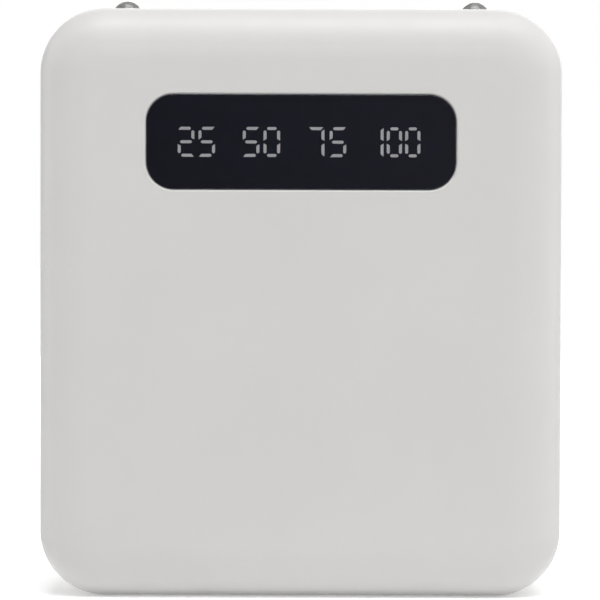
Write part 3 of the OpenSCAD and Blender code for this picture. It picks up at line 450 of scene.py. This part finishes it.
FINISHES = [
    (housing, ["front_cover", "rear_cover", "power_button"]),
    (nickel, ["left_usb_a_shell", "right_usb_a_shell", "usb_c_shell", "switch_cover"]),
    (strip_nickel, ["positive_strip", "negative_strip"]),
    (zinc, ["board_screws"]),
    (tinned, ["left_torch_pins", "right_torch_pins"]),
    (gold, ["left_usb_a_contacts", "right_usb_a_contacts", "usb_c_contacts"]),
    (black_moulding, ["display_reflector", "usb_c_tongue", "switch_body", "switch_plunger"]),
    (mask_black, ["display_mask"]),
    (white_moulding, ["left_usb_a_tongue", "right_usb_a_tongue"]),
    (glowing_film_finish(), ["display_diffuser"]),
    (display_lamp_finish(), ["display_leds"]),
    (board_finish(), ["main_board"]),
    (ferrite, ["boost_inductor"]),
    (chip_epoxy, ["controller_chip", "charger_chip"]),
    (fired_tan, ["board_capacitors"]),
    (cell_finish(), ["cell_far_left", "cell_left", "cell_right", "cell_far_right"]),
    (ring_paper, ["cell_insulators"]),
    (tan_paper, ["insulation_sheet"]),
    (red_cover, ["positive_lead"]),
    (black_cover, ["negative_lead"]),
    (foam, ["foam_pads"]),
    (tape, ["window_adhesive"]),
]
for finish, names in FINISHES:
    finish.wear(*[nodes[name] for name in names])


# Front cover

CORNER_R = 10.6 * MM
ROLL_R = 6.0 * MM
SLOW_MIDDLE = 6.3 * MM
SLOW_HALF = 2.4 * MM
SLOW_DROP = 0.46 * MM
STRIP = 0.4 * MM
ON_FLAT = 0.001 * MM
ON_FACE = 0.03 * MM
SAME_WAY = 0.9
TINY = 1e-9


def from_outline(points, low, high):
    """How far points lie inside the cover's rounded outline in the front view, and the directions out of it.
    The distance is the corner radius less the distance from the frame that joins the corners' centres."""
    view = points[:, [0, 2]]
    middle = np.array([low.x + high.x, low.z + high.z]) / 2
    half = np.array([high.x - low.x, high.z - low.z]) / 2
    past = np.abs(view - middle) - (half - CORNER_R)
    beyond = np.clip(past, 0, None)
    length = np.linalg.norm(beyond, axis=1)
    inside = CORNER_R - length - np.minimum(past.max(axis=1), 0)
    way = np.sign(view - middle) * beyond / np.maximum(length, TINY)[:, None]
    return inside, np.stack([way[:, 0], np.zeros_like(length), way[:, 1]], axis=-1)


def slow_roll(inside):
    """How far the front falls back at a distance inside the outline, and how steeply: two parabolas that meet
    in the middle of the step, so that the slope grows evenly and fades evenly. Further in, the front is
    flat."""
    share = np.clip((SLOW_MIDDLE + SLOW_HALF - inside) / (2 * SLOW_HALF), 0, 1)
    drop = SLOW_DROP * np.where(share < 0.5, 2 * share ** 2, 1 - 2 * (1 - share) ** 2)
    slope = 2 * SLOW_DROP / SLOW_HALF * np.minimum(share, 1 - share)
    return drop, slope


def cut_front(mesh, low, high):
    """Merges a copy of the cover and cuts its flat front into narrow strips near the edges, so that it can
    bend."""
    work = bmesh.new()
    work.from_mesh(mesh)
    bmesh.ops.remove_doubles(work, verts=work.verts, dist=MERGE)
    for step in np.arange(ROLL_R + STRIP / 2, SLOW_MIDDLE + SLOW_HALF, STRIP):
        for place, way in (((low.x + step, 0, 0), (1, 0, 0)), ((high.x - step, 0, 0), (1, 0, 0)),
                           ((0, 0, low.z + step), (0, 0, 1)), ((0, 0, high.z - step), (0, 0, 1))):
            flat = [face for face in work.faces if face.calc_center_median().y - low.y < ON_FLAT]
            edges = {edge for face in flat for edge in face.edges}
            bmesh.ops.bisect_plane(work, geom=[*flat, *edges], dist=MERGE, plane_co=place, plane_no=way)
    bmesh.ops.triangulate(work, faces=work.faces)
    work.to_mesh(mesh)
    work.free()


def bend_front(mesh, low, high):
    """Points of the rolled arc and of the flat front fall back by the slow roll. A normal there is tilted by
    the arc's slope plus the slow roll's, and on the side walls it is the direction out of the outline. All
    other faces are flat."""
    points = np.empty((len(mesh.vertices), 3))
    mesh.vertices.foreach_get("co", points.ravel())
    inside, way = from_outline(points, low, high)
    sine = np.clip((ROLL_R - inside) / ROLL_R, 0, 1)
    cosine = np.sqrt(1 - sine ** 2)
    arc_y = low.y + ROLL_R * (1 - cosine)
    rolled = np.abs(points[:, 1] - arc_y) < ON_FACE
    wall = (np.abs(inside) < ON_FACE) & (points[:, 1] > arc_y)
    drop, slope = slow_roll(inside)
    points[:, 1] += np.where(rolled, drop, 0)
    mesh.vertices.foreach_set("co", points.ravel())
    mesh.update()
    tilt = np.where(wall, np.pi / 2, np.arctan2(sine + slope * cosine, cosine))
    normal = np.sin(tilt)[:, None] * way + np.cos(tilt)[:, None] * [[0, -1, 0]]
    corner = np.empty(len(mesh.loops), int)
    mesh.loops.foreach_get("vertex_index", corner)
    flat = np.empty((len(mesh.polygons), 3))
    mesh.polygons.foreach_get("normal", flat.ravel())
    flat = np.repeat(flat, 3, axis=0)
    smooth = (rolled | wall)[corner] & ((normal[corner] * flat).sum(axis=1) > SAME_WAY)
    mesh.shade_smooth()
    mesh.normals_split_custom_set(np.where(smooth[:, None], normal[corner], flat).tolist())


def front_shell():
    """Front cover: a copy of the CAD node whose edge rolls over more slowly than the node's plain arc."""
    low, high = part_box("front_cover")
    mesh = nodes["front_cover"].data.copy()
    cut_front(mesh, low, high)
    bend_front(mesh, low, high)
    shell = placed("front_shell", mesh)
    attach(shell, "housing")
    housing.wear(shell)
    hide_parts("front_cover")


front_shell()


# Torch lamps

LENS_R = 2.5 * MM
LENS_SOFT = 0.12 * MM
FLANGE_T = 1.0 * MM
SOFT_POINTS = 7
DOME_POINTS = 40


def torch_lens(side):
    """Clear lens: flange, straight barrel and round dome as one turned profile, standing where the CAD lens
    does."""
    node = f"{side}_torch_lens"
    low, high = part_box(node)
    middle = ((low.x + high.x) / 2, (low.y + high.y) / 2)
    soft_r = (high.x - low.x) / 2 - LENS_SOFT
    flange_top = low.z + FLANGE_T
    dome_z = high.z - LENS_R
    profile = np.concatenate([
        [[0, low.z], [soft_r, low.z]],
        arc((soft_r, low.z + LENS_SOFT), LENS_SOFT, -90, 0, SOFT_POINTS),
        arc((soft_r, flange_top - LENS_SOFT), LENS_SOFT, 0, 90, SOFT_POINTS),
        arc((LENS_R + LENS_SOFT, flange_top + LENS_SOFT), LENS_SOFT, 270, 180, SOFT_POINTS),
        [[LENS_R, dome_z]],
        arc((0, dome_z), LENS_R, 0, 90, DOME_POINTS),
    ])
    lens = surface(f"{side}_lamp_lens", turned(profile, middle), "housing")
    resin.wear(lens)
    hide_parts(node)


for side in ("left", "right"):
    torch_lens(side)


# Display window

WINDOW_R = 4.4 * MM
WINDOW_BEVEL = 0.12 * MM
BEVEL_BULGE = 0.02 * MM
FILM_GAP = 0.02 * MM
BEVEL_POINTS = 5
CORNER_POINTS = 24
WINDOW_SHARP = 20


def window_pane():
    """Window: a plate with a rounded outline, a hair clear of the film behind it. Its profile runs from the
    middle of the back, up the side, over a slightly rounded bevel and across the polished front."""
    low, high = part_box("display_window")
    half_w, half_h = (high.x - low.x) / 2, (high.z - low.z) / 2
    thick = high.y - low.y
    share = np.linspace(0, 1, BEVEL_POINTS)
    bulge = BEVEL_BULGE * np.sin(np.pi * share)
    bevel = np.stack([WINDOW_BEVEL * share, thick - WINDOW_BEVEL + WINDOW_BEVEL * share + bulge], axis=-1)
    profile = np.concatenate([
        [[half_h, FILM_GAP], [0, FILM_GAP]],
        bevel,
        [[half_h, thick]],
    ])
    flat = carried(round_outline(half_w, half_h, WINDOW_R, CORNER_POINTS), WINDOW_R, profile)
    points = np.stack([flat[..., 0] + (low.x + high.x) / 2, high.y - flat[..., 2],
                       flat[..., 1] + (low.z + high.z) / 2], axis=-1)
    piece = surface("window_pane", points, "housing", WINDOW_SHARP)
    pane.wear(piece)
    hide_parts("display_window")


window_pane()


# Light sources inside the lamps

CUP_R = 0.4 * MM
CUP_DEPTH = 0.35 * MM
DROP_CLEAR = 0.02 * MM
DROP_LIFT = 0.01 * MM
CROWN_RISE = 0.12 * MM
CROWN_POINTS = 12
DROP_COLUMNS = 40
LEAD_PITCH = 2.54 * MM
POST_DROP = 0.5 * MM
WIRE_R = 0.035 * MM
WIRE_START_X, WIRE_START_Z = 0.1 * MM, 0.08 * MM
WIRE_RISE = 0.55 * MM
WIRE_LEAN = 0.75
WIRE_POINTS = 40


def tube(path, radius, columns=12):
    """A round tube in a plane: each point of the path of x and z gets a circle square to the path's own
    direction, and the ends close to points."""
    way = np.gradient(path, axis=0)
    way /= np.linalg.norm(way, axis=1)[:, None]
    normal = np.stack([-way[:, 1], way[:, 0]], axis=-1)
    angle = np.linspace(0, 2 * np.pi, columns, endpoint=False)
    thick = np.full(len(path), radius)
    thick[[0, -1]] = 0
    across = (thick[:, None] * np.cos(angle))[..., None] * normal[:, None, :]
    flat = path[:, None, :] + across
    return np.stack([flat[..., 0], thick[:, None] * np.sin(angle), flat[..., 1]], axis=-1)


def lamp_drop(side, middle, rim):
    """Drop of phosphor in a lamp's cup: it fills the cup up to the rim, and a parabola crowns over it."""
    radius = CUP_R - DROP_CLEAR
    bottom = rim - CUP_DEPTH + DROP_LIFT
    crown = radius * np.linspace(1, 0, CROWN_POINTS)[:, None]
    dome = np.concatenate([crown, rim + CROWN_RISE * (1 - (crown / radius) ** 2)], axis=1)
    profile = np.concatenate([[[0, bottom], [radius, bottom]], dome])
    drop = surface(f"{side}_lamp_phosphor", turned(profile, (middle, 0), DROP_COLUMNS), "housing")
    phosphor.wear(drop)


def lamp_wire(side, middle, rim):
    """Hair of wire from a lamp's drop to the other pin: a straight line plus an arch of half a sine wave that
    leans towards the drop."""
    share = np.linspace(0, 1, WIRE_POINTS)
    start = np.array([WIRE_START_X, rim + WIRE_START_Z])
    end = np.array([LEAD_PITCH / 2, rim - POST_DROP])
    rise = WIRE_RISE * np.sin(np.pi * share ** WIRE_LEAN)
    path = start + (end - start) * share[:, None] + np.stack([0 * share, rise], axis=-1)
    wire = surface(f"{side}_lamp_wire", tube(path, WIRE_R) + [middle, 0, 0], "housing")
    gold.wear(wire)


for side in ("left", "right"):
    low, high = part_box(f"{side}_torch_pins")
    lamp_drop(side, (low.x + high.x) / 2, high.z)
    lamp_wire(side, (low.x + high.x) / 2, high.z)


# Studio

FLOOR_HALF = 3.0
FLOOR_Z = -0.05 * MM
FLOOR_WHITE = 0.94
LIFT_NEAR, LIFT_FAR = 0.06, 0.5
LIFT_LOW, LIFT_HIGH = 0.35, 0.8
SHINE_NEAR, SHINE_FAR = 2 * MM, 14 * MM
SHINE_HIGH, SHINE_LOW = 1.0, 0.2


def seen_rays(network):
    """Two switches for the white background: the first is 1 for camera rays only, and the second for camera,
    mirror and glass rays. Both are 0 for the light on surfaces."""
    path = network.add("LightPath").outputs
    mirrored = network.sum("MAXIMUM", path["Is Glossy Ray"], path["Is Transmission Ray"])
    return path["Is Camera Ray"], network.sum("MAXIMUM", path["Is Camera Ray"], mirrored)


def pale_floor():
    """Floor: a matt white sheet. Where it is seen it is lifted to white, less so close to the object, so that
    the object keeps its shadow. In mirrors it is lifted only a little, but fully in a narrow strip round the
    object, where it lies in shadow."""
    corners = FLOOR_HALF * np.array([[-1, -1, 0], [1, -1, 0], [1, 1, 0], [-1, 1, 0]]) + [0, 0, FLOOR_Z]
    mesh = bpy.data.meshes.new("floor")
    mesh.from_pydata(corners.tolist(), [], [[0, 1, 2, 3]])
    floor = placed("floor", mesh)
    sheet = Finish("white_floor", Roughness=0.9, Specular_IOR_Level=0.0)
    sheet.colour((FLOOR_WHITE, FLOOR_WHITE, FLOOR_WHITE))
    sheet.glow((1, 1, 1))
    reach = sheet.add("VectorMath", operation="LENGTH")
    sheet.feed(sheet.place, reach.inputs[0])
    lift = sheet.spread(reach.outputs["Value"], LIFT_NEAR, LIFT_FAR, LIFT_LOW, LIFT_HIGH)
    camera, seen = seen_rays(sheet)
    across = sheet.sum("SUBTRACT", sheet.sum("ABSOLUTE", sheet.along("X")), cad_box[1].x)
    ahead = sheet.sum("SUBTRACT", sheet.sum("ABSOLUTE", sheet.along("Y")), cad_box[1].y)
    off_object = sheet.sum("MAXIMUM", across, ahead)
    shine = sheet.spread(off_object, SHINE_NEAR, SHINE_FAR, SHINE_HIGH, SHINE_LOW)
    mirrored = sheet.sum("MULTIPLY", seen, shine)
    sheet.feed(sheet.between(camera, mirrored, lift), sheet.shader.inputs["Emission Strength"])
    sheet.wear(floor)


FILL_LEVEL = 0.365
FILL_SIDE = 0.3
FILL_LEFT, FILL_RIGHT = 0.85, 1.15
FILL_FRONT_END, FILL_REAR_START = -0.3, 0.5
FILL_FRONT, FILL_REAR = 1.0, 0.7
ROOM_DIM = 0.17
ROOM_INNER, ROOM_OUTER = -0.99, -0.80
ROOM_SIDE = 0.08
ROOM_LEFT, ROOM_RIGHT = 0.75, 1.25


def studio_world():
    """World: white where it is seen, but dim in mirrors that face the side the photo was taken from, where
    the room is dark. As light on surfaces it is an even grey, weaker from behind and from the left."""
    world = bpy.data.worlds.new("studio")
    bpy.context.scene.world = world
    world.use_nodes = True
    sky = Network(world.node_tree)
    background = world.node_tree.nodes["Background"]
    background.inputs["Color"].default_value = (1, 1, 1, 1)
    direction = sky.add("TexCoord").outputs["Generated"]
    across, back = sky.axis(direction, "X"), sky.axis(direction, "Y")
    tilt = sky.spread(across, -FILL_SIDE, FILL_SIDE, FILL_LEFT, FILL_RIGHT)
    behind = sky.spread(back, FILL_FRONT_END, FILL_REAR_START, FILL_FRONT, FILL_REAR)
    fill = sky.sum("MULTIPLY", sky.sum("MULTIPLY", tilt, behind), FILL_LEVEL)
    sideways = sky.spread(across, -ROOM_SIDE, ROOM_SIDE, ROOM_LEFT, ROOM_RIGHT)
    dark = sky.spread(back, ROOM_INNER, ROOM_OUTER, ROOM_DIM, 1, "SMOOTHSTEP")
    room = sky.sum("MULTIPLY", dark, sideways)
    camera, seen = seen_rays(sky)
    mirrored = sky.between(seen, fill, room)
    sky.feed(sky.between(camera, mirrored, 1.0), background.inputs["Strength"])


LAMP_AIM = (0, 0, 0.05)
LAMPS = [
    ("front_top_lamp", (0.10, -0.32, 0.80), 0.6, 5.65),
    ("right_lamp", (0.78, 0.14, 0.20), 0.5, 1.05),
    ("left_lamp", (-0.78, 0.14, 0.20), 0.5, 1.30),
    ("rear_lamp", (0.10, 0.75, 0.22), 0.6, 2.2),
]


def soft_lamp(name, place, width, power):
    """Square soft lamp at a place, turned towards the object."""
    light = bpy.data.lights.new(name, "AREA")
    light.size = width
    light.energy = power
    lamp = placed(name, light)
    lamp.location = place
    lamp.rotation_mode = "QUATERNION"
    lamp.rotation_quaternion = (Vector(LAMP_AIM) - Vector(place)).to_track_quat("-Z", "Y")


CAMERA_DISTANCE = 500 * MM
CAMERA_RISE = 1.585
CAMERA_ROLL = 0.167
CAMERA_AIM = (-0.106 * MM, 0, 47.86 * MM)
CAMERA_NEAR = 10 * MM
SENSOR_WIDTH = 36
FOCAL_PIXELS = 3044.9
PICTURE_PIXELS = 600


def photo_camera():
    """Camera at the photo's angle: it stands back from the aim along a direction a little above the horizon,
    with a focal length given in pixels of a 600 pixel picture."""
    rise = math.radians(CAMERA_RISE)
    back = Vector((0, -math.cos(rise), math.sin(rise)))
    lens = bpy.data.cameras.new("camera")
    lens.sensor_width = SENSOR_WIDTH
    lens.lens = FOCAL_PIXELS * SENSOR_WIDTH / PICTURE_PIXELS
    lens.clip_start = CAMERA_NEAR
    camera = placed("camera", lens)
    camera.rotation_mode = "QUATERNION"
    roll = Matrix.Rotation(math.radians(CAMERA_ROLL), 3, "Z").to_quaternion()
    camera.rotation_quaternion = (-back).to_track_quat("-Z", "Y") @ roll
    camera.location = Vector(CAMERA_AIM) + back * CAMERA_DISTANCE
    bpy.context.scene.camera = camera


pale_floor()
studio_world()
for lamp in LAMPS:
    soft_lamp(*lamp)
photo_camera()
bpy.context.scene.view_settings.view_transform = "Standard"
